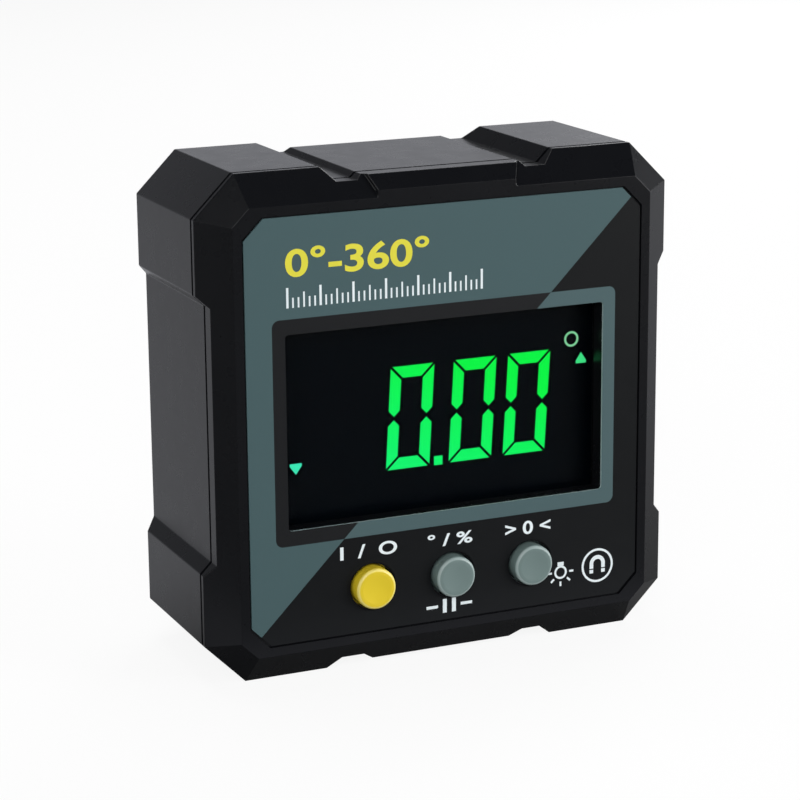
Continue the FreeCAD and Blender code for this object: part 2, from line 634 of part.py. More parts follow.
def controller_chip():
    """Controller below the sensor, with its four corners cut."""
    chip = plate(CHIP_SIZE / 2, CHIP_SIZE / 2, 0, HALF - CHIP_DROP,
                 BOARD_BACK, BOARD_BACK + CHIP_THICKNESS)
    edges = [e for e in chip.Edges if e.Vertexes[0].Y != e.Vertexes[1].Y]
    return chip.makeChamfer(CHIP_CHAMFER, edges)


def crystal_can():
    """Clock crystal in its round-ended can, beside the sensor."""
    half = CRYSTAL_WIDTH / 2
    return plate(CRYSTAL_LENGTH / 2, half, 0, HALF - CRYSTAL_DROP - half,
                 BOARD_BACK, BOARD_BACK + CRYSTAL_THICKNESS, half * CRYSTAL_END_SHARE)


def chip_capacitors():
    """Row of small capacitors above the sensor."""
    row = []
    first = -CAPACITOR_PITCH * (CAPACITOR_COUNT - 1) / 2
    for step in range(CAPACITOR_COUNT):
        row.append(plate(CAPACITOR_WIDTH / 2, CAPACITOR_LENGTH / 2, first + step * CAPACITOR_PITCH,
                         HALF + CAPACITOR_RISE, BOARD_BACK, BOARD_BACK + CAPACITOR_THICKNESS))
    return Part.makeCompound(row)


def button_cap(x):
    """One push button: rounded cap, flange behind the wall and stem on the switch."""
    switch_top = BOARD_FRONT - SWITCH_HEIGHT - PLUNGER_PROUD
    flange = BUTTON_RADIUS + BUTTON_FLANGE_WIDTH
    flange_back = FRONT_WALL + BUTTON_FLANGE_THICKNESS
    profile = [(0, -BUTTON_PROUD), (BUTTON_RADIUS, -BUTTON_PROUD), (BUTTON_RADIUS, FRONT_WALL),
               (flange, FRONT_WALL), (flange, flange_back), (BUTTON_STEM_RADIUS, flange_back),
               (BUTTON_STEM_RADIUS, switch_top), (0, switch_top)]
    cap = turned(profile, x, BUTTON_Z)
    rim = [e for e in cap.Edges if abs(e.BoundBox.YMin - FRONT_Y + BUTTON_PROUD) < BUTTON_RIM_RADIUS / 2
           and abs(e.BoundBox.YMax - FRONT_Y + BUTTON_PROUD) < BUTTON_RIM_RADIUS / 2
           and e.BoundBox.XLength > BUTTON_RADIUS]
    dish = (BUTTON_DISH_RADIUS ** 2 + BUTTON_DISH_DEPTH ** 2) / (2 * BUTTON_DISH_DEPTH)
    centre = Vector(x, FRONT_Y - BUTTON_PROUD + BUTTON_DISH_DEPTH - dish, BUTTON_Z)
    return cap.makeFillet(BUTTON_RIM_RADIUS, rim).cut(Part.makeSphere(dish, centre))


def switch_plunger(x):
    """Plunger of one switch, which the button's stem pushes."""
    top = BOARD_FRONT - SWITCH_HEIGHT - PLUNGER_PROUD
    return disc(PLUNGER_RADIUS, x, BUTTON_Z, top, top + PLUNGER_PROUD + PLUNGER_BURIED)


def switch_bodies():
    """Bodies of the three switches, each with the bore of its plunger."""
    bodies = []
    front = BOARD_FRONT - SWITCH_HEIGHT
    for x in BUTTON_XS:
        body = plate(SWITCH_SIZE / 2, SWITCH_SIZE / 2, x, BUTTON_Z, front, BOARD_FRONT)
        edges = [e for e in body.Edges if e.Vertexes[0].Y != e.Vertexes[1].Y]
        body = body.makeChamfer(SWITCH_CHAMFER, edges)
        bore_end = front + PLUNGER_BURIED + 2 * BUTTON_TRAVEL
        bore = disc(PLUNGER_RADIUS + PLUNGER_CLEARANCE, x, BUTTON_Z, front - OVERRUN, bore_end)
        bodies.append(body.cut(bore))
    return Part.makeCompound(bodies)


def screw(x, z, seat, radius, length, head_radius, head_thickness):
    """A pan head screw with a cross slot, its head towards the back and its shank forward."""
    profile = [(0, seat - length), (radius, seat - length + radius), (radius, seat), (head_radius, seat),
               (head_radius, seat + head_thickness / 2), (radius, seat + head_thickness),
               (0, seat + head_thickness)]
    body = turned(profile, x, z)
    deep = seat + head_thickness * (1 - SLOT_DEPTH_SHARE)
    wide = head_radius * SLOT_WIDTH_SHARE
    long = head_radius * SLOT_LENGTH_SHARE / 2
    back = seat + head_thickness + OVERRUN
    return body.cut([plate(long, wide, x, z, deep, back), plate(wide, long, x, z, deep, back)])


def case_screws():
    """The four screws that hold the covers together."""
    seat = CASE_DEPTH - CASE_SINK_DEPTH
    return Part.makeCompound([screw(x, z, seat, CASE_SCREW_RADIUS, CASE_SCREW_LENGTH,
                                    CASE_HEAD_RADIUS, CASE_HEAD_THICKNESS) for x, z in screw_places()])


def board_screws():
    """The four screws that hold the board on its posts."""
    return Part.makeCompound([screw(x, z, BOARD_BACK, BOARD_SCREW_RADIUS, BOARD_SCREW_LENGTH,
                                    BOARD_HEAD_RADIUS, BOARD_HEAD_THICKNESS) for x, z in post_places()])


def upright(radius, x, depth, low, high):
    """A round bar that stands along Z."""
    return Part.makeCylinder(radius, high - low, Vector(x, FRONT_Y + depth, low))


def cell_base(side):
    """Height of the lower end of a cell: the left one stands nub up, the right one nub down."""
    reach = CONTACT_THICKNESS + CONTACT_DIMPLE_HEIGHT
    if side < 0:
        return HALF + BAY_HALF_LENGTH - reach - CELL_LENGTH
    return HALF - BAY_HALF_LENGTH + reach


def cell(side):
    """One cell with its rounded can edges and its nub."""
    x = side * CELL_X
    low = cell_base(side)
    can_low = low if side < 0 else low + CELL_NUB_HEIGHT
    can_high = can_low + CELL_LENGTH - CELL_NUB_HEIGHT
    can = upright(CELL_RADIUS, x, CELL_AXIS, can_low, can_high)
    rims = [e for e in can.Edges if e.BoundBox.ZLength < CELL_RIM_RADIUS / 2]
    can = can.makeFillet(CELL_RIM_RADIUS, rims)
    nub_low = can_high if side < 0 else low
    nub = upright(CELL_NUB_RADIUS, x, CELL_AXIS, nub_low, nub_low + CELL_NUB_HEIGHT)
    return can.fuse(nub).removeSplitter()


def contact_plate(x0, x1, at_top):
    """Flat sheet against one end wall of the bay."""
    front = BAY_INSIDE + CONTACT_MARGIN
    back = DOOR_FRONT - CONTACT_MARGIN
    if at_top:
        high = HALF + BAY_HALF_LENGTH
        return block(x0, x1, high - CONTACT_THICKNESS, high, front, back)
    low = HALF - BAY_HALF_LENGTH
    return block(x0, x1, low, low + CONTACT_THICKNESS, front, back)


def dimple(side, at_top):
    """Raised spot that meets the cell's nub."""
    if at_top:
        high = HALF + BAY_HALF_LENGTH
        return upright(CONTACT_DIMPLE_RADIUS, side * CELL_X, CELL_AXIS,
                       high - CONTACT_THICKNESS - CONTACT_DIMPLE_HEIGHT, high)
    low = HALF - BAY_HALF_LENGTH
    return upright(CONTACT_DIMPLE_RADIUS, side * CELL_X, CELL_AXIS, low,
                   low + CONTACT_THICKNESS + CONTACT_DIMPLE_HEIGHT)


def leaf(side, at_top):
    """Bent spring leaf that presses on the flat end of the cell."""
    wall = HALF + (BAY_HALF_LENGTH if at_top else -BAY_HALF_LENGTH)
    inward = -1 if at_top else 1
    end = cell_base(side) + (CELL_LENGTH if at_top else 0)
    rise = abs(end - wall) - 2 * CONTACT_THICKNESS
    span = CELL_RADIUS - CONTACT_MARGIN
    flat = span * LEAF_FLAT_SHARE
    foot = span - LEAF_FOOT
    line = [(-span, 0), (-foot, 0), (-flat, rise), (flat, rise), (span, LEAF_LIFT)]
    lower = [(CELL_AXIS + d, wall + inward * (CONTACT_THICKNESS + h)) for d, h in line]
    upper = [(d, z + inward * CONTACT_THICKNESS) for d, z in reversed(lower)]
    corners = [Vector(side * CELL_X - LEAF_HALF_WIDTH, FRONT_Y + d, z) for d, z in lower + upper]
    face = Part.Face(Part.makePolygon(corners + corners[:1]))
    return face.extrude(Vector(2 * LEAF_HALF_WIDTH, 0, 0))


def terminal_tab(side):
    """Tab that runs forward through the bay floor to the board."""
    high = HALF + BAY_HALF_LENGTH
    return block(side * CELL_X - TAB_WIDTH / 2, side * CELL_X + TAB_WIDTH / 2,
                 high - CONTACT_THICKNESS, high, BOARD_BACK, BAY_INSIDE + CONTACT_MARGIN)


def positive_terminal():
    """Upper contact of the left cell."""
    sheet = contact_plate(-CELL_X - CONTACT_HALF_WIDTH, -CELL_X + CONTACT_HALF_WIDTH, True)
    return sheet.fuse([dimple(-1, True), terminal_tab(-1)]).removeSplitter()


def negative_terminal():
    """Upper contact of the right cell, with its spring leaf."""
    sheet = contact_plate(CELL_X - CONTACT_HALF_WIDTH, CELL_X + CONTACT_HALF_WIDTH, True)
    return sheet.fuse([leaf(1, True), terminal_tab(1)]).removeSplitter()


def battery_bridge():
    """Lower contact that joins the two cells."""
    sheet = contact_plate(-CELL_X - CONTACT_HALF_WIDTH, CELL_X + CONTACT_HALF_WIDTH, False)
    return sheet.fuse([leaf(-1, False), dimple(1, False)]).removeSplitter()


def build():
    """Every piece of the gauge, by its name."""
    pieces = {
        "front_cover": front_cover(),
        "rear_cover": rear_cover(),
        "battery_door": battery_door(),
        "face_label": face_label(),
        "display_window": display_window(),
        "display_gasket": display_gasket(),
        "front_polarizer": polarizer(FRONT_GLASS - POLARIZER_THICKNESS),
        "lcd_front_glass": lcd_front_glass(),
        "lcd_rear_glass": lcd_rear_glass(),
        "rear_polarizer": polarizer(REAR_POLARIZER),
        "lcd_frame": lcd_frame(),
        "contact_strip": strip_space(0),
        "backlight_panel": backlight_panel(),
        "backlight_leds": Part.makeCompound(led_spaces(0)),
        "main_board": main_board(),
        "accelerometer_chip": accelerometer_chip(),
        "controller_chip": controller_chip(),
        "crystal_can": crystal_can(),
        "chip_capacitors": chip_capacitors(),
        "switch_bodies": switch_bodies(),
        "case_screws": case_screws(),
        "board_screws": board_screws(),
        "battery_left": cell(-1),
        "battery_right": cell(1),
        "positive_terminal": positive_terminal(),
        "negative_terminal": negative_terminal(),
        "battery_bridge": battery_bridge(),
        "base_magnets": base_magnets(),
    }
    for name, x in zip(BUTTON_NAMES, BUTTON_XS):
        pieces[name + "_button"] = button_cap(x)
        pieces[name + "_plunger"] = switch_plunger(x)
    return pieces


os.makedirs("parts", exist_ok=True)
for node, shape in build().items():
    shape.exportStep("parts/" + node + ".step")
    print(node, len(shape.Solids), "solid(s), volume", round(shape.Volume, 2), "valid", shape.isValid())
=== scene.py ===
import math

import bpy
from mathutils import Matrix, Vector


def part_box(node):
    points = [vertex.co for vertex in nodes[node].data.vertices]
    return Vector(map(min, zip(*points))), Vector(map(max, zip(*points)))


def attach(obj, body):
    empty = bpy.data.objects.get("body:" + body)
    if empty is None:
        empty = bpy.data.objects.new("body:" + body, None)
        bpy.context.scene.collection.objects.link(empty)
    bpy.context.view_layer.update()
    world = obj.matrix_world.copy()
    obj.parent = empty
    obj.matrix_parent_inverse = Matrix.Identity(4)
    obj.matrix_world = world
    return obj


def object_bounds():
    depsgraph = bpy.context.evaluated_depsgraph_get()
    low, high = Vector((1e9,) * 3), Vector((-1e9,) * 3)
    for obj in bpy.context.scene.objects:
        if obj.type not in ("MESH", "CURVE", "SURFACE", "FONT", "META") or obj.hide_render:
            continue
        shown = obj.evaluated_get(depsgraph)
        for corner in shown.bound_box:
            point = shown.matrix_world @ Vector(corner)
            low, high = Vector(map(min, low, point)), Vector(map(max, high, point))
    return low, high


# Digital inclinometer: its finishes, the print on its face, its lit display and a plain studio.
# Metres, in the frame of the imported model. Values that end in _MM are millimetres.

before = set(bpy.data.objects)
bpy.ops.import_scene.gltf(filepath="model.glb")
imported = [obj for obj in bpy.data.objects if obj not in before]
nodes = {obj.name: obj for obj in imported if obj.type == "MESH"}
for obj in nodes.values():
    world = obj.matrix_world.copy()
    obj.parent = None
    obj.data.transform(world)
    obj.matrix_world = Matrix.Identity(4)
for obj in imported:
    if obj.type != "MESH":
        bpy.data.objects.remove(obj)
cad_low, cad_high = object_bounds()

MM = 0.001

# Where the print and the lit segments lie, from front to back
LABEL_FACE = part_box("face_label")[0].y
PRINT_THICKNESS = 0.02 * MM
SEGMENT_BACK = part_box("front_polarizer")[0].y - 0.01 * MM
SEGMENT_THICKNESS = 0.04 * MM

# A corner nearer to a cut than this counts as on it
CUT_CLOSENESS = 0.0001 * MM

# Noise of the finishes, in cells to the metre
CLOUD_CELLS = 140.0
SHEEN_CELLS = 420.0
PRINT_GRAIN_CELLS = 6000.0
DRAWN_MARK_CELLS = 3500.0
PLATING_CELLS = 600.0
POLISH_CELLS = 260.0
FILM_CELLS = 500.0
SLEEVE_CELLS = 300.0
SLEEVE_RELIEF_CELLS = 900.0
TRACK_CELLS = 420.0

# Face label, in millimetres from the middle line and from the feet
SPLIT_RISE_MM = 30.05
BAND_HALF_WIDTH_MM = 21.95
BAND_MIDDLE_MM = 30.0
BAND_HALF_HEIGHT_MM = 13.4
BAND_RADIUS_MM = 0.9
LABEL_BLACK = "0d0f11"
LABEL_TEAL = "475d60"
BAND_BLACK = "1a1b1d"
BAND_TEAL = "4c6164"
CUT_EDGE_PALE = "9fb2b5"

# Lit numerals, and how their colour runs from the lower left to the upper right
LIT_ACROSS_SHARE = 0.4
LIT_BLEND_MM = (20.5, 36.0)
DIGIT_LEFTS_MM = (-6.6, 1.54, 8.7)
DIGIT_BOTTOM_MM = 23.15
DIGIT_HEIGHT_MM = 12.45
DIGIT_WIDTH_MM = 5.6
DIGIT_STROKE_MM = 1.4
DIGIT_GAP_MM = 0.22
DIGIT_SLANT = 0.06
POINT_LEFT_MM = -0.36
POINT_SIZE_MM = 1.1
POINT_DROP_MM = 0.1
RING_X_MM = 17.88
RING_Z_MM = 36.6
RING_RADIUS_MM = 0.95
RING_STROKE_MM = 0.25
UP_MARK_MM = (18.52, 19.88, 33.5, 34.83)
DOWN_MARK_MM = (-18.75, -17.28, 24.08, 25.4)

# Printed marks: left, right, bottom and top of each row
RANGE_ROW_MM = (-20.2, -2.4, 48.2, 51.6)
SCALE_ROW_MM = (-20.0, 4.3, 44.7, 47.05)
SCALE_TICKS = 37
SCALE_LONG_EVERY = 6
SCALE_MIDDLE_EVERY = 3
SCALE_MIDDLE_SHARE = 0.75
SCALE_SHORT_SHARE = 0.5
SCALE_LONG_HALF_MM = 0.14
SCALE_SHORT_HALF_MM = 0.1
POWER_LEGEND_MM = (-14.0, -6.75, 14.0, 15.64)
UNIT_LEGEND_MM = (-2.8, 3.06, 14.0, 15.6)
ZERO_LEGEND_MM = (7.4, 13.48, 14.0, 15.68)
HOLD_LEGEND_MM = (-3.0, 3.0, 5.68, 7.41)
HOLD_DASH_MM = 1.5
HOLD_DASH_HALF_MM = 0.18
HOLD_BAR_OFFSET_MM = 0.6
HOLD_BAR_HALF_MM = 0.26
TEXT_STEPS = 6
TEXT_BOLD = 0.02

# Lamp sign: its middle, and the base and the first ray from there
LAMP_X_MM = 14.9
LAMP_Z_MM = 8.55
LAMP_RADIUS_MM = 0.85
LAMP_STROKE_MM = 0.26
LAMP_BASE_MM = (-0.42, 0.42, 0.82, 1.3)
LAMP_RAY_MM = (-0.13, 0.13, 1.18, 1.75)
LAMP_RAY_TURNS = (90.0, 132.0, 180.0, 228.0, 270.0)

# Magnet sign: its middle, the circle, the bow, and the bottom and top of each leg and tip from there
MAGNET_X_MM = 19.93
MAGNET_Z_MM = 8.75
MAGNET_CIRCLE_RADIUS_MM = 2.15
MAGNET_CIRCLE_STROKE_MM = 0.28
MAGNET_BOW_RADIUS_MM = 1.05
MAGNET_BOW_STROKE_MM = 0.5
MAGNET_BOW_RISE_MM = 0.25
MAGNET_BOW_CUT_MM = 0.22
MAGNET_LEG_MM = (-0.35, 0.25)
MAGNET_TIP_MM = (-0.95, -0.5)

# Cells: the nub, the bare metal edge, and the pale band with its distance from the nub's end
CELL_NUB_MM = 0.9
CELL_EDGE_MM = 1.2
CELL_BAND_MM = 5.0
CELL_BAND_INSET_MM = 4.0

# Share of the surface's normal that faces front, where the painted highlight on the buttons' rim starts and
# ends
RIM_HIGHLIGHT_START = (0.2, 0.6)
RIM_HIGHLIGHT_END = (0.9, 0.99)

# Camera, solved from the photograph
CAMERA_AZIMUTH = -23.9442
CAMERA_ELEVATION = 14.443
CAMERA_ROLL = -0.4695
CAMERA_LENS_MM = 118.532
CAMERA_SENSOR_MM = 36.0
CAMERA_DISTANCE_MM = 320.445
CAMERA_TARGET_MM = (-0.2671, 0.6, 28.7222)

# Studio
FLOOR_PALE = (0.95, 0.95, 0.95, 1.0)
FLOOR_GREY = (0.3, 0.3, 0.3, 1.0)
FLOOR_GLOW = 0.9
FLOOR_GLOW_BEHIND = 0.5
FLOOR_GLOW_STRIP = 0.9
FLOOR_SIZE = 6.0
FLOOR_GAP = 0.02 * MM
FLOOR_BEHIND = (-0.005, 0.035)
FLOOR_STRIP_START = (-0.03, -0.026)
FLOOR_STRIP_END = (-0.017, -0.015)
STUDIO_FRONT = 0.125
STUDIO_BEHIND = 0.82
STUDIO_ABOVE_SHARE = 0.15
STUDIO_LEFT_SHARE = 0.5
STUDIO_DEPTH_BLEND = (-0.3, 0.8)
STUDIO_HEIGHT_BLEND = (0.22, 0.36)
STUDIO_SIDE_BLEND = (-0.3, 0.15)
STUDIO_TINT = (0.95, 0.965, 1.04, 1.0)
WHITE = (1.0, 1.0, 1.0, 1.0)

# Soft lamps: name, place, size and power, all aimed at the middle of the case
STUDIO_AIM = (0.0, 0.0, 0.03)
STUDIO_LAMPS = (
    ("key", (0.55, -0.5, 0.2), 0.4, 3.8),
    ("fill", (-0.35, -0.6, 0.4), 0.4, 2.8),
    ("left", (-0.6, -0.15, 0.15), 0.3, 0.75),
    ("right", (0.7, -0.12, 0.1), 0.3, 2.0),
    ("back", (0.55, 0.5, 0.35), 0.4, 2.4),
    ("top", (0.0, 0.2, 0.7), 0.4, 2.0),
)


def srgb(code):
    """Linear colour of a six-figure web colour."""
    parts = [int(code[i:i + 2], 16) / 255 for i in (0, 2, 4)]
    return tuple(c / 12.92 if c <= 0.04045 else ((c + 0.055) / 1.055) ** 2.4 for c in parts) + (1.0,)


# Materials

def new_material(name):
    """An empty material with its shader, and its object coordinates."""
    material = bpy.data.materials.new(name)
    material.use_nodes = True
    tree = material.node_tree
    shader = tree.nodes["Principled BSDF"]
    place = tree.nodes.new("ShaderNodeTexCoord")
    return material, tree, shader, place.outputs["Object"]


def noise(tree, place, scale, detail=3.0, roughness=0.55):
    """A noise pattern of the given number of cells to the metre."""
    node = tree.nodes.new("ShaderNodeTexNoise")
    node.inputs["Scale"].default_value = scale
    node.inputs["Detail"].default_value = detail
    node.inputs["Roughness"].default_value = roughness
    tree.links.new(place, node.inputs["Vector"])
    return node.outputs["Fac"]


def remap(tree, value, low, high):
    """The value, spread from 0.3 to 0.7 over low to high."""
    node = tree.nodes.new("ShaderNodeMapRange")
    node.inputs["From Min"].default_value = 0.3
    node.inputs["From Max"].default_value = 0.7
    node.inputs["To Min"].default_value = low
    node.inputs["To Max"].default_value = high
    tree.links.new(value, node.inputs["Value"])
    return node.outputs["Result"]


def blend_along(tree, value, start, end, low, high):
    """A level that runs from low to high while the value runs from start to end."""
    node = tree.nodes.new("ShaderNodeMapRange")
    for name, number in (("From Min", start), ("From Max", end), ("To Min", low), ("To Max", high)):
        node.inputs[name].default_value = number
    tree.links.new(value, node.inputs["Value"])
    return node.outputs["Result"]


def mixed(tree, factor, first, second):
    """A colour between two others, which are colours or outputs."""
    node = tree.nodes.new("ShaderNodeMix")
    node.data_type = "RGBA"
    tree.links.new(factor, node.inputs["Factor"])
    for name, colour in (("A", first), ("B", second)):
        socket = [s for s in node.inputs if s.name == name and s.type == "RGBA"][0]
        if isinstance(colour, tuple):
            socket.default_value = colour
        else:
            tree.links.new(colour, socket)
    return [s for s in node.outputs if s.type == "RGBA"][0]


def math_node(tree, operation, first, second=None):
    """One sum on outputs or numbers."""
    node = tree.nodes.new("ShaderNodeMath")
    node.operation = operation
    for index, value in enumerate((first, second)):
        if value is None:
            continue
        if isinstance(value, (int, float)):
            node.inputs[index].default_value = value
        else:
            tree.links.new(value, node.inputs[index])
    return node.outputs[0]


def grain(tree, shader, height, strength, distance):
    """Fine relief on the surface."""
    node = tree.nodes.new("ShaderNodeBump")
    node.inputs["Strength"].default_value = strength
    node.inputs["Distance"].default_value = distance
    tree.links.new(height, node.inputs["Height"])
    tree.links.new(node.outputs["Normal"], shader.inputs["Normal"])


def moulded(name, light, dark, roughness, ior=1.45, grain_scale=4500.0, relief=0.25):
    """Moulded plastic: slight cloudiness of colour, uneven sheen and a fine spark-eroded grain."""
    material, tree, shader, place = new_material(name)
    cloud = remap(tree, noise(tree, place, CLOUD_CELLS), 0.0, 1.0)
    tree.links.new(mixed(tree, cloud, srgb(dark), srgb(light)), shader.inputs["Base Color"])
    sheen = remap(tree, noise(tree, place, SHEEN_CELLS, 2.0), roughness - 0.012, roughness + 0.012)
    tree.links.new(sheen, shader.inputs["Roughness"])
    shader.inputs["IOR"].default_value = ior
    if relief:
        grain(tree, shader, noise(tree, place, grain_scale, 2.0), relief, 0.02 * MM)
    return material


def button_plastic(name, light, dark, rim):
    """Moulded plastic of a button, with a painted highlight: paler colour round the rim of its face."""
    material = moulded(name, light, dark, 0.3, 1.4, 5000.0, 0.08)
    tree = material.node_tree
    shader = tree.nodes["Principled BSDF"]
    facing = tree.nodes.new("ShaderNodeSeparateXYZ")
    tree.links.new(tree.nodes.new("ShaderNodeNewGeometry").outputs["Normal"], facing.inputs["Vector"])
    turned = math_node(tree, "ABSOLUTE", facing.outputs["Y"])
    # Painted highlight: the rounded rim between the face and the side is painted paler.
    painted_rim_highlight = math_node(tree, "MULTIPLY", blend_along(tree, turned, *RIM_HIGHLIGHT_START, 0.0, 1.0),
                       blend_along(tree, turned, *RIM_HIGHLIGHT_END, 1.0, 0.0))
    plain = shader.inputs["Base Color"].links[0].from_socket
    tree.links.new(mixed(tree, painted_rim_highlight, plain, srgb(rim)), shader.inputs["Base Color"])
    return material


def metal(name, colour, roughness, along=None):
    """Plated metal with fine drawn marks along one axis, or plain plating."""
    material, tree, shader, place = new_material(name)
    stretch = tree.nodes.new("ShaderNodeMapping")
    if along is not None:
        stretch.inputs["Scale"].default_value[along] = 0.05
    tree.links.new(place, stretch.inputs["Vector"])
    marks = noise(tree, stretch.outputs["Vector"], DRAWN_MARK_CELLS)
    tree.links.new(remap(tree, marks, roughness - 0.06, roughness + 0.08), shader.inputs["Roughness"])
    tone = remap(tree, noise(tree, place, PLATING_CELLS), 0.0, 1.0)
    darker = tuple(c * 0.8 for c in srgb(colour)[:3]) + (1.0,)
    tree.links.new(mixed(tree, tone, darker, srgb(colour)), shader.inputs["Base Color"])
    shader.inputs["Metallic"].default_value = 1.0
    grain(tree, shader, marks, 0.15, 0.01 * MM)
    return material


def clear(name, tint, alpha, roughness=0.05):
    """Clear or tinted sheet, with faint uneven polish."""
    material, tree, shader, place = new_material(name)
    shader.inputs["Base Color"].default_value = srgb(tint)
    shader.inputs["Alpha"].default_value = alpha
    polish = remap(tree, noise(tree, place, POLISH_CELLS, 2.0), roughness * 0.7, roughness * 1.4)
    tree.links.new(polish, shader.inputs["Roughness"])
    return material


def lit(name, upper, lower):
    """Lit display colour, which cools a little towards the lower left."""
    material, tree, shader, place = new_material(name)
    axes = tree.nodes.new("ShaderNodeSeparateXYZ")
    tree.links.new(place, axes.inputs["Vector"])
    across = math_node(tree, "MULTIPLY", axes.outputs["X"], LIT_ACROSS_SHARE)
    along = math_node(tree, "ADD", across, axes.outputs["Z"])
    rise = blend_along(tree, along, LIT_BLEND_MM[0] * MM, LIT_BLEND_MM[1] * MM, 0.0, 1.0)
    colour = mixed(tree, rise, srgb(lower), srgb(upper))
    tree.links.new(colour, shader.inputs["Emission Color"])
    shader.inputs["Emission Strength"].default_value = 1.0
    shader.inputs["Base Color"].default_value = (0.0, 0.0, 0.0, 1.0)
    shader.inputs["Roughness"].default_value = 0.6
    shader.inputs["Specular IOR Level"].default_value = 0.0
    return material


def label_finish():
    """Printed film: teal above a diagonal, near black below, and a frame band in the other colour."""
    material, tree, shader, place = new_material("printed_label")
    axes = tree.nodes.new("ShaderNodeSeparateXYZ")
    tree.links.new(place, axes.inputs["Vector"])
    x = math_node(tree, "MULTIPLY", axes.outputs["X"], 1 / MM)
    z = math_node(tree, "MULTIPLY", axes.outputs["Z"], 1 / MM)
    above = math_node(tree, "GREATER_THAN", math_node(tree, "SUBTRACT", z, x), SPLIT_RISE_MM)
    aside = math_node(tree, "ABSOLUTE", x)
    reach_x = math_node(tree, "SUBTRACT", aside, BAND_HALF_WIDTH_MM - BAND_RADIUS_MM)
    offset = math_node(tree, "ABSOLUTE", math_node(tree, "SUBTRACT", z, BAND_MIDDLE_MM))
    reach_z = math_node(tree, "SUBTRACT", offset, BAND_HALF_HEIGHT_MM - BAND_RADIUS_MM)
    beyond_x = math_node(tree, "MAXIMUM", reach_x, 0.0)
    beyond_z = math_node(tree, "MAXIMUM", reach_z, 0.0)
    squares = math_node(tree, "ADD", math_node(tree, "POWER", beyond_x, 2.0),
                        math_node(tree, "POWER", beyond_z, 2.0))
    within = math_node(tree, "LESS_THAN", math_node(tree, "SQRT", squares), BAND_RADIUS_MM)
    field = mixed(tree, above, srgb(LABEL_BLACK), srgb(LABEL_TEAL))
    band = mixed(tree, above, srgb(BAND_TEAL), srgb(BAND_BLACK))
    print_colour = mixed(tree, within, field, band)
    facing = tree.nodes.new("ShaderNodeSeparateXYZ")
    tree.links.new(tree.nodes.new("ShaderNodeNewGeometry").outputs["Normal"], facing.inputs["Vector"])
    sideways = math_node(tree, "LESS_THAN", math_node(tree, "ABSOLUTE", facing.outputs["Y"]), 0.5)
    opening = math_node(tree, "MULTIPLY", sideways, math_node(tree, "LESS_THAN", reach_z, 0.0))
    opening = math_node(tree, "MULTIPLY", opening, math_node(tree, "LESS_THAN", reach_x, 0.0))
    tree.links.new(mixed(tree, opening, print_colour, srgb(CUT_EDGE_PALE)), shader.inputs["Base Color"])
    tree.links.new(remap(tree, noise(tree, place, FILM_CELLS), 0.4, 0.44), shader.inputs["Roughness"])
    shader.inputs["IOR"].default_value = 1.25
    grain(tree, shader, noise(tree, place, PRINT_GRAIN_CELLS, 2.0), 0.06, 0.01 * MM)
    return material


def between(tree, value, low, high):
    """One where the value lies between low and high, and nought elsewhere."""
    return math_node(tree, "MULTIPLY", math_node(tree, "GREATER_THAN", value, low),
                     math_node(tree, "LESS_THAN", value, high))


def cell_jacket(node, nub_up):
    """Cell jacket: a slate sleeve with a pale band towards the end with the nub, and plated ends."""
    material, tree, shader, place = new_material(node + "_jacket")
    low, high = (corner.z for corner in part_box(node))
    low, high = (low, high - CELL_NUB_MM * MM) if nub_up else (low + CELL_NUB_MM * MM, high)
    edge = CELL_EDGE_MM * MM
    inset = CELL_BAND_INSET_MM * MM
    band_low = high - inset - CELL_BAND_MM * MM if nub_up else low + inset
    axes = tree.nodes.new("ShaderNodeSeparateXYZ")
    tree.links.new(place, axes.inputs["Vector"])
    sleeve = between(tree, axes.outputs["Z"], low + edge, high - edge)
    band = between(tree, axes.outputs["Z"], band_low, band_low + CELL_BAND_MM * MM)
    print_colour = mixed(tree, band, srgb("4f5e6b"), srgb("b9c2c6"))
    tree.links.new(mixed(tree, sleeve, srgb("b9babb"), print_colour), shader.inputs["Base Color"])
    tree.links.new(math_node(tree, "SUBTRACT", 1.0, sleeve), shader.inputs["Metallic"])
    tree.links.new(remap(tree, noise(tree, place, SLEEVE_CELLS), 0.25, 0.4), shader.inputs["Roughness"])
    grain(tree, shader, noise(tree, place, SLEEVE_RELIEF_CELLS, 2.0), 0.1, 0.02 * MM)
    return material


def board_finish():
    """Circuit board: green mask over a grid of copper tracks."""
    material, tree, shader, place = new_material("board_laminate")
    brick = tree.nodes.new("ShaderNodeTexBrick")
    brick.inputs["Scale"].default_value = TRACK_CELLS
    brick.inputs["Mortar Size"].default_value = 0.03
    brick.inputs["Color1"].default_value = srgb("0e4a2a")
    brick.inputs["Color2"].default_value = srgb("0c4426")
    brick.inputs["Mortar"].default_value = srgb("17653a")
    turn = tree.nodes.new("ShaderNodeMapping")
    turn.inputs["Rotation"].default_value[0] = math.pi / 2
    tree.links.new(place, turn.inputs["Vector"])
    tree.links.new(turn.outputs["Vector"], brick.inputs["Vector"])
    tree.links.new(brick.outputs["Color"], shader.inputs["Base Color"])
    shader.inputs["Roughness"].default_value = 0.35
    return material


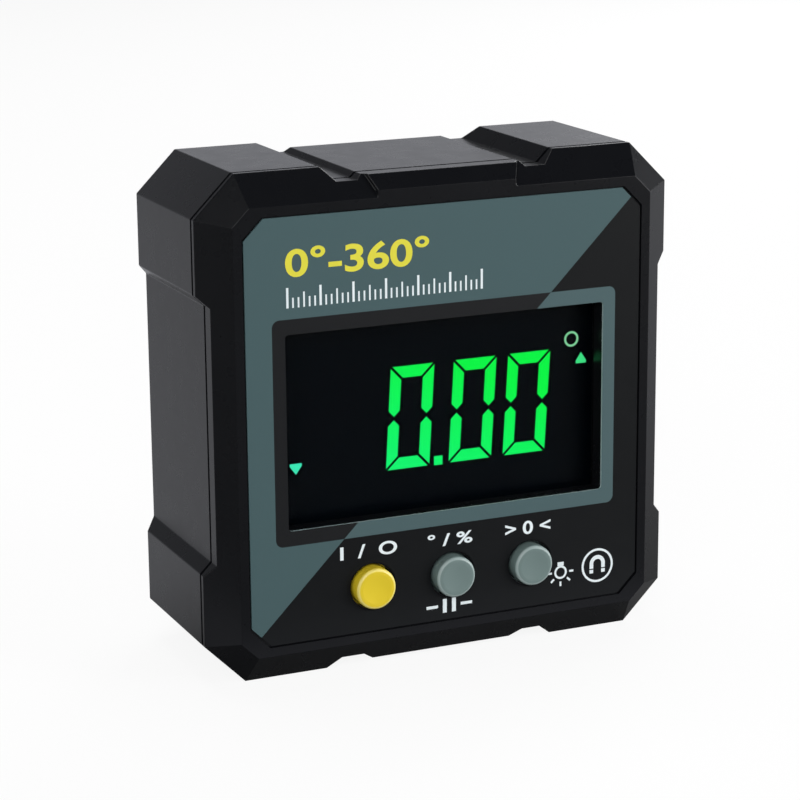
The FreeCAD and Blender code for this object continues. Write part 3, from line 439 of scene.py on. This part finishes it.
case_plastic = moulded("case_plastic", "101114", "0e0f12", 0.28, 1.25, 4500.0, 0.12)
# The third colour of each button is its painted rim highlight.
yellow_plastic = button_plastic("button_yellow", "e3c92e", "dfc329", "f3e27c")
grey_plastic = button_plastic("button_grey", "708280", "6c7e7c", "9aaaa8")
chip_epoxy = moulded("chip_epoxy", "26272a", "1f2022", 0.5)
switch_plastic = moulded("switch_plastic", "37383b", "2f3033", 0.45)
plunger_plastic = moulded("plunger_plastic", "cdc9bd", "c2beb2", 0.35)
contact_metal = metal("contact_metal", "c9c7c0", 0.3, 0)
screw_steel = metal("screw_steel", "a9abae", 0.32)
print_white = moulded("print_white", "e9f2f5", "e2ebee", 0.5, 1.4, PRINT_GRAIN_CELLS, 0.05)
print_yellow = moulded("print_yellow", "e2da42", "dcd43a", 0.5, 1.4, PRINT_GRAIN_CELLS, 0.05)
segment_green = lit("segment_green", "0eff4a", "16ff78")
mark_green = lit("mark_green", "40e688", "40f0bc")
ring_green = lit("ring_green", "86d8a0", "86d8a0")

FINISHES = {
    "front_cover": case_plastic,
    "rear_cover": case_plastic,
    "battery_door": case_plastic,
    "face_label": label_finish(),
    "display_window": clear("window_pane", "0c1012", 0.06, 0.04),
    "display_gasket": moulded("gasket_foam", "101011", "0c0c0d", 0.8, 1.1, 2500.0, 0.6),
    "front_polarizer": moulded("display_black", "000307", "000206", 0.25, 1.15, relief=0.0),
    "lcd_front_glass": clear("display_glass_front", "14191a", 0.35),
    "lcd_rear_glass": clear("display_glass_rear", "9fb0ad", 0.35),
    "rear_polarizer": clear("polarizer_film", "3a3d42", 0.6, 0.2),
    "lcd_frame": moulded("tray_plastic", "d8d8d2", "cfcfc8", 0.5),
    "contact_strip": moulded("strip_rubber", "c89aa4", "b98a95", 0.7),
    "backlight_panel": moulded("light_guide", "eef2ee", "e4e9e4", 0.25),
    "backlight_leds": moulded("light_chip", "efe9c8", "e6dfb4", 0.35),
    "main_board": board_finish(),
    "accelerometer_chip": chip_epoxy,
    "controller_chip": chip_epoxy,
    "crystal_can": metal("crystal_can_metal", "c6c8ca", 0.25),
    "chip_capacitors": moulded("capacitor_ceramic", "b08a5e", "a07c52", 0.5),
    "switch_bodies": switch_plastic,
    "case_screws": screw_steel,
    "board_screws": screw_steel,
    "battery_left": cell_jacket("battery_left", True),
    "battery_right": cell_jacket("battery_right", False),
    "positive_terminal": contact_metal,
    "negative_terminal": contact_metal,
    "battery_bridge": contact_metal,
    "base_magnets": metal("magnet_metal", "c8cacc", 0.2),
    "power_button": yellow_plastic,
    "hold_button": grey_plastic,
    "zero_button": grey_plastic,
    "power_plunger": plunger_plastic,
    "hold_plunger": plunger_plastic,
    "zero_plunger": plunger_plastic,
}


def finish_nodes():
    """Gives every node of the model its material."""
    for name, node in nodes.items():
        node.data.materials.clear()
        node.data.materials.append(FINISHES[name])


# Modelling helpers

def clean_start():
    """Leaves edit mode and deselects everything."""
    if bpy.context.object and bpy.context.object.mode != "OBJECT":
        bpy.ops.object.mode_set(mode="OBJECT")
    bpy.ops.object.select_all(action="DESELECT")


def settle(piece):
    """Puts the piece's place in its mesh."""
    clean_start()
    piece.select_set(True)
    bpy.context.view_layer.objects.active = piece
    bpy.ops.object.transform_apply(location=True, rotation=True, scale=True)
    return piece


def join(name, pieces):
    """One piece out of several."""
    clean_start()
    for piece in pieces:
        piece.select_set(True)
    bpy.context.view_layer.objects.active = pieces[0]
    if len(pieces) > 1:
        bpy.ops.object.join()
    pieces[0].name = name
    return pieces[0]


def bar(x0, x1, z0, z1, back=LABEL_FACE, thickness=PRINT_THICKNESS):
    """A flat bar that faces the front, from millimetres across and up."""
    clean_start()
    centre = ((x0 + x1) / 2 * MM, back - thickness / 2, (z0 + z1) / 2 * MM)
    bpy.ops.mesh.primitive_cube_add(size=1.0, location=centre)
    piece = bpy.context.object
    piece.scale = ((x1 - x0) * MM, thickness, (z1 - z0) * MM)
    return settle(piece)


def cut_away(piece, x, z, across, up):
    """Cuts the piece along a line through x and z, and removes what lies towards (across, up)."""
    clean_start()
    bpy.context.view_layer.objects.active = piece
    bpy.ops.object.mode_set(mode="EDIT")
    bpy.ops.mesh.select_all(action="SELECT")
    bpy.ops.mesh.bisect(plane_co=(x * MM, 0.0, z * MM), plane_no=(across, 0.0, up), clear_outer=True,
                        threshold=CUT_CLOSENESS)
    bpy.ops.mesh.select_all(action="SELECT")
    bpy.ops.mesh.fill_holes(sides=0)
    bpy.ops.mesh.select_all(action="SELECT")
    bpy.ops.mesh.normals_make_consistent(inside=False)
    bpy.ops.object.mode_set(mode="OBJECT")
    return piece


def ring(x, z, radius, stroke, back=LABEL_FACE, thickness=PRINT_THICKNESS):
    """A flat ring that faces the front."""
    clean_start()
    bpy.ops.mesh.primitive_circle_add(vertices=48, radius=radius * MM, fill_type="NGON",
                                      location=(x * MM, back, z * MM), rotation=(math.pi / 2, 0.0, 0.0))
    piece = bpy.context.object
    bpy.ops.object.mode_set(mode="EDIT")
    bpy.ops.mesh.select_all(action="SELECT")
    bpy.ops.mesh.inset(thickness=stroke * MM, depth=0.0)
    bpy.ops.mesh.delete(type="FACE")
    bpy.ops.mesh.select_all(action="SELECT")
    bpy.ops.mesh.extrude_region_move(TRANSFORM_OT_translate={"value": (0.0, -thickness, 0.0)})
    bpy.ops.mesh.select_all(action="SELECT")
    bpy.ops.mesh.normals_make_consistent(inside=False)
    bpy.ops.object.mode_set(mode="OBJECT")
    return settle(piece)


def lettering(name, text, row, material):
    """Printed numerals or signs that fill the row's left, right, bottom and top."""
    left, right, bottom, top = (value * MM for value in row)
    clean_start()
    bpy.ops.object.text_add(rotation=(math.pi / 2, 0.0, 0.0))
    piece = bpy.context.object
    piece.data.body = text
    piece.data.size = top - bottom
    piece.data.offset = TEXT_BOLD * (top - bottom)
    piece.data.extrude = PRINT_THICKNESS / 2
    piece.data.resolution_u = TEXT_STEPS
    bpy.ops.object.convert(target="MESH")
    settle(piece)
    xs = [v.co.x for v in piece.data.vertices]
    zs = [v.co.z for v in piece.data.vertices]
    ys = [v.co.y for v in piece.data.vertices]
    wide = (right - left) / (max(xs) - min(xs))
    high = (top - bottom) / (max(zs) - min(zs))
    shift = Matrix.Translation((left - min(xs) * wide, LABEL_FACE - max(ys), bottom - min(zs) * high))
    piece.data.transform(shift @ Matrix.Diagonal((wide, 1.0, high, 1.0)))
    return dressed(piece, name, material)


def dressed(piece, name, material, body="case"):
    """Names the piece, gives it its finish and lets it ride on its body."""
    piece.name = name
    piece.data.name = name
    piece.data.materials.clear()
    piece.data.materials.append(material)
    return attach(piece, body)


# Lit display

def segment(x0, x1, z0, z1):
    """A lit bar, from any two opposite corners."""
    return bar(min(x0, x1), max(x0, x1), min(z0, z1), max(z0, z1), SEGMENT_BACK, SEGMENT_THICKNESS)


def digit_segments(left):
    """The six lit bars of a nought, mitred at the corners and pointed half way up."""
    width, height, stroke, gap = DIGIT_WIDTH_MM, DIGIT_HEIGHT_MM, DIGIT_STROKE_MM, DIGIT_GAP_MM
    low = DIGIT_BOTTOM_MM
    high = low + height
    middle = low + height / 2
    right = left + width
    bars = []
    for z, inward in ((high, -1), (low, 1)):
        flat = segment(left, right, z, z + inward * stroke)
        cut_away(flat, left + gap, z, -1, inward)
        cut_away(flat, right - gap, z, 1, inward)
        bars.append(flat)
        for x, side in ((left, 1), (right, -1)):
            post = segment(x, x + side * stroke, z, middle)
            cut_away(post, x, z + inward * gap, side, -inward)
            tip_x = x + side * stroke / 2
            tip_z = middle - inward * gap
            cut_away(post, tip_x, tip_z, 1, inward)
            cut_away(post, tip_x, tip_z, -1, inward)
            bars.append(post)
    return bars


def lit_display():
    """Numerals, point, ring and the two triangle marks."""
    for index, left in enumerate(DIGIT_LEFTS_MM):
        digit = join("digit", digit_segments(left))
        lean = Matrix.Identity(4)
        lean[0][2] = DIGIT_SLANT
        lean[0][3] = -DIGIT_SLANT * DIGIT_BOTTOM_MM * MM
        digit.data.transform(lean)
        dressed(digit, f"lit_digit_{index + 1}", segment_green)
    low = DIGIT_BOTTOM_MM - POINT_DROP_MM
    point = segment(POINT_LEFT_MM, POINT_LEFT_MM + POINT_SIZE_MM, low, low + POINT_SIZE_MM)
    dressed(point, "lit_point", segment_green)
    degree = ring(RING_X_MM, RING_Z_MM, RING_RADIUS_MM, RING_STROKE_MM, SEGMENT_BACK, SEGMENT_THICKNESS)
    dressed(degree, "lit_degree_ring", ring_green)
    for name, row, up in (("lit_up_mark", UP_MARK_MM, 1), ("lit_down_mark", DOWN_MARK_MM, -1)):
        left, right, low, high = row
        mark = segment(left, right, low, high)
        middle = (left + right) / 2
        for side in (-1, 1):
            cut_away(mark, middle, high if up > 0 else low, side * (high - low), up * (right - left) / 2)
        dressed(mark, name, mark_green)


# Print on the label

def graduated_scale():
    """A row of fine marks, with every sixth one long and every third one of middle height."""
    left, right, bottom, top = SCALE_ROW_MM
    marks = []
    step = (right - left) / (SCALE_TICKS - 1)
    for index in range(SCALE_TICKS):
        x = left + index * step
        share, half = SCALE_SHORT_SHARE, SCALE_SHORT_HALF_MM
        if index % SCALE_MIDDLE_EVERY == 0:
            share = SCALE_MIDDLE_SHARE
        if index % SCALE_LONG_EVERY == 0:
            share, half = 1.0, SCALE_LONG_HALF_MM
        marks.append(bar(x - half, x + half, bottom, bottom + (top - bottom) * share))
    dressed(join("scale", marks), "scale_marks", print_white)


def lamp_sign():
    """A small lamp, base up, with rays below and beside it."""
    left, right, low, high = LAMP_BASE_MM
    parts = [ring(LAMP_X_MM, LAMP_Z_MM, LAMP_RADIUS_MM, LAMP_STROKE_MM),
             bar(LAMP_X_MM + left, LAMP_X_MM + right, LAMP_Z_MM + low, LAMP_Z_MM + high)]
    for turn in LAMP_RAY_TURNS:
        ray = bar(*LAMP_RAY_MM)
        spin = Matrix.Rotation(math.radians(turn), 4, "Y")
        ray.data.transform(Matrix.Translation((LAMP_X_MM * MM, 0.0, LAMP_Z_MM * MM)) @ spin)
        parts.append(ray)
    dressed(join("lamp", parts), "lamp_sign", print_white)


def magnet_sign():
    """A horseshoe magnet in a plain circle."""
    parts = [ring(MAGNET_X_MM, MAGNET_Z_MM, MAGNET_CIRCLE_RADIUS_MM, MAGNET_CIRCLE_STROKE_MM)]
    bow = ring(MAGNET_X_MM, MAGNET_Z_MM + MAGNET_BOW_RISE_MM, MAGNET_BOW_RADIUS_MM, MAGNET_BOW_STROKE_MM)
    cut_away(bow, MAGNET_X_MM, MAGNET_Z_MM + MAGNET_BOW_CUT_MM, 0, -1)
    parts.append(bow)
    half = MAGNET_BOW_STROKE_MM / 2
    for side in (-1, 1):
        x = MAGNET_X_MM + side * (MAGNET_BOW_RADIUS_MM - half)
        for low, high in (MAGNET_LEG_MM, MAGNET_TIP_MM):
            parts.append(bar(x - half, x + half, MAGNET_Z_MM + low, MAGNET_Z_MM + high))
    dressed(join("magnet", parts), "magnet_sign", print_white)


def hold_sign():
    """Two upright bars between two dashes, under the middle button."""
    left, right, bottom, top = HOLD_LEGEND_MM
    middle = (bottom + top) / 2
    low, high = middle - HOLD_DASH_HALF_MM, middle + HOLD_DASH_HALF_MM
    parts = [bar(left, left + HOLD_DASH_MM, low, high), bar(right - HOLD_DASH_MM, right, low, high)]
    for side in (-1, 1):
        x = (left + right) / 2 + side * HOLD_BAR_OFFSET_MM
        parts.append(bar(x - HOLD_BAR_HALF_MM, x + HOLD_BAR_HALF_MM, bottom, top))
    dressed(join("hold", parts), "hold_sign", print_white)


def printed_face():
    """All the print on the label."""
    lettering("range_numerals", "0°-360°", RANGE_ROW_MM, print_yellow)
    graduated_scale()
    lettering("power_legend", "I  /  O", POWER_LEGEND_MM, print_white)
    lettering("unit_legend", "° / %", UNIT_LEGEND_MM, print_white)
    lettering("zero_legend", "> 0 <", ZERO_LEGEND_MM, print_white)
    hold_sign()
    lamp_sign()
    magnet_sign()


# Studio

def add_camera():
    """Camera at the photograph's viewing angle."""
    azimuth, elevation, roll = (math.radians(a) for a in (CAMERA_AZIMUTH, CAMERA_ELEVATION, CAMERA_ROLL))
    back = Vector((math.sin(azimuth) * math.cos(elevation), -math.cos(azimuth) * math.cos(elevation),
                   math.sin(elevation)))
    right = Vector((0.0, 0.0, 1.0)).cross(back).normalized()
    up = back.cross(right)
    right, up = (right * math.cos(roll) + up * math.sin(roll), up * math.cos(roll) - right * math.sin(roll))
    target = Vector(CAMERA_TARGET_MM) * MM
    data = bpy.data.cameras.new("camera")
    data.lens = CAMERA_LENS_MM
    data.sensor_width = CAMERA_SENSOR_MM
    data.clip_start = 0.01
    camera = bpy.data.objects.new("camera", data)
    bpy.context.scene.collection.objects.link(camera)
    turn = Matrix((right, up, back)).transposed().to_4x4()
    camera.matrix_world = Matrix.Translation(target + back * CAMERA_DISTANCE_MM * MM) @ turn
    bpy.context.scene.camera = camera


def add_light(name, place, aim, size, power):
    """One soft square lamp, turned to what it is aimed at."""
    data = bpy.data.lights.new(name, "AREA")
    data.size = size
    data.energy = power
    lamp = bpy.data.objects.new(name, data)
    bpy.context.scene.collection.objects.link(lamp)
    lamp.location = place
    lamp.rotation_euler = (Vector(aim) - Vector(place)).to_track_quat("-Z", "Y").to_euler()


def seen_rays(tree):
    """The camera's rays, those that reflect and those that pass through."""
    path = tree.nodes.new("ShaderNodeLightPath")
    return [path.outputs[name] for name in ("Is Camera Ray", "Is Glossy Ray", "Is Transmission Ray")]


def add_floor():
    """Pale floor, white to the camera with the shadow kept; in reflections it is pale behind the object
    and in a strip close before it."""
    clean_start()
    bpy.ops.mesh.primitive_plane_add(size=FLOOR_SIZE, location=(0.0, 0.0, cad_low.z - FLOOR_GAP))
    floor = bpy.context.object
    floor.name = "floor"
    material, tree, shader, place = new_material("floor")
    tree.nodes.remove(shader)
    axes = tree.nodes.new("ShaderNodeSeparateXYZ")
    tree.links.new(place, axes.inputs["Vector"])
    camera_ray, glossy_ray, through_ray = seen_rays(tree)
    other_ray = math_node(tree, "MAXIMUM", glossy_ray, through_ray)
    behind = blend_along(tree, axes.outputs["Y"], *FLOOR_BEHIND, 0.0, FLOOR_GLOW_BEHIND)
    starts = blend_along(tree, axes.outputs["Y"], *FLOOR_STRIP_START, 0.0, FLOOR_GLOW_STRIP)
    ends = blend_along(tree, axes.outputs["Y"], *FLOOR_STRIP_END, 1.0, 0.0)
    glow_level = math_node(tree, "MAXIMUM", behind, math_node(tree, "MULTIPLY", starts, ends))
    share = math_node(tree, "MAXIMUM", math_node(tree, "MULTIPLY", camera_ray, FLOOR_GLOW),
                      math_node(tree, "MULTIPLY", other_ray, glow_level))
    plain = tree.nodes.new("ShaderNodeBsdfDiffuse")
    tree.links.new(mixed(tree, camera_ray, FLOOR_GREY, FLOOR_PALE), plain.inputs["Color"])
    glow = tree.nodes.new("ShaderNodeEmission")
    tree.links.new(mixed(tree, camera_ray, STUDIO_TINT, WHITE), glow.inputs["Color"])
    mix = tree.nodes.new("ShaderNodeMixShader")
    tree.links.new(share, mix.inputs[0])
    tree.links.new(plain.outputs[0], mix.inputs[1])
    tree.links.new(glow.outputs[0], mix.inputs[2])
    tree.links.new(mix.outputs[0], tree.nodes["Material Output"].inputs[0])
    floor.data.materials.append(material)


def add_world():
    """White to the camera and through clear sheet. What lights the object and shows in its gloss is a
    pale low band behind it and a dimmer studio before and above it."""
    world = bpy.data.worlds.new("studio")
    bpy.context.scene.world = world
    world.use_nodes = True
    tree = world.node_tree
    tree.nodes.clear()
    place = tree.nodes.new("ShaderNodeTexCoord")
    axes = tree.nodes.new("ShaderNodeSeparateXYZ")
    tree.links.new(place.outputs["Generated"], axes.inputs["Vector"])
    camera_ray, _, through_ray = seen_rays(tree)
    white_ray = math_node(tree, "MAXIMUM", camera_ray, through_ray)
    behind = blend_along(tree, axes.outputs["Y"], *STUDIO_DEPTH_BLEND, STUDIO_FRONT, STUDIO_BEHIND)
    height = blend_along(tree, axes.outputs["Z"], *STUDIO_HEIGHT_BLEND, 1.0, STUDIO_ABOVE_SHARE)
    side = blend_along(tree, axes.outputs["X"], *STUDIO_SIDE_BLEND, STUDIO_LEFT_SHARE, 1.0)
    studio = math_node(tree, "MULTIPLY", math_node(tree, "MULTIPLY", behind, height), side)
    level = math_node(tree, "MAXIMUM", studio, white_ray)
    background = tree.nodes.new("ShaderNodeBackground")
    tree.links.new(level, background.inputs["Strength"])
    tree.links.new(mixed(tree, white_ray, STUDIO_TINT, WHITE), background.inputs["Color"])
    output = tree.nodes.new("ShaderNodeOutputWorld")
    tree.links.new(background.outputs[0], output.inputs[0])


finish_nodes()
lit_display()
printed_face()
add_camera()
for lamp_name, lamp_place, lamp_size, lamp_power in STUDIO_LAMPS:
    add_light(lamp_name, lamp_place, STUDIO_AIM, lamp_size, lamp_power)
add_floor()
add_world()
bpy.context.scene.view_settings.view_transform = "Standard"
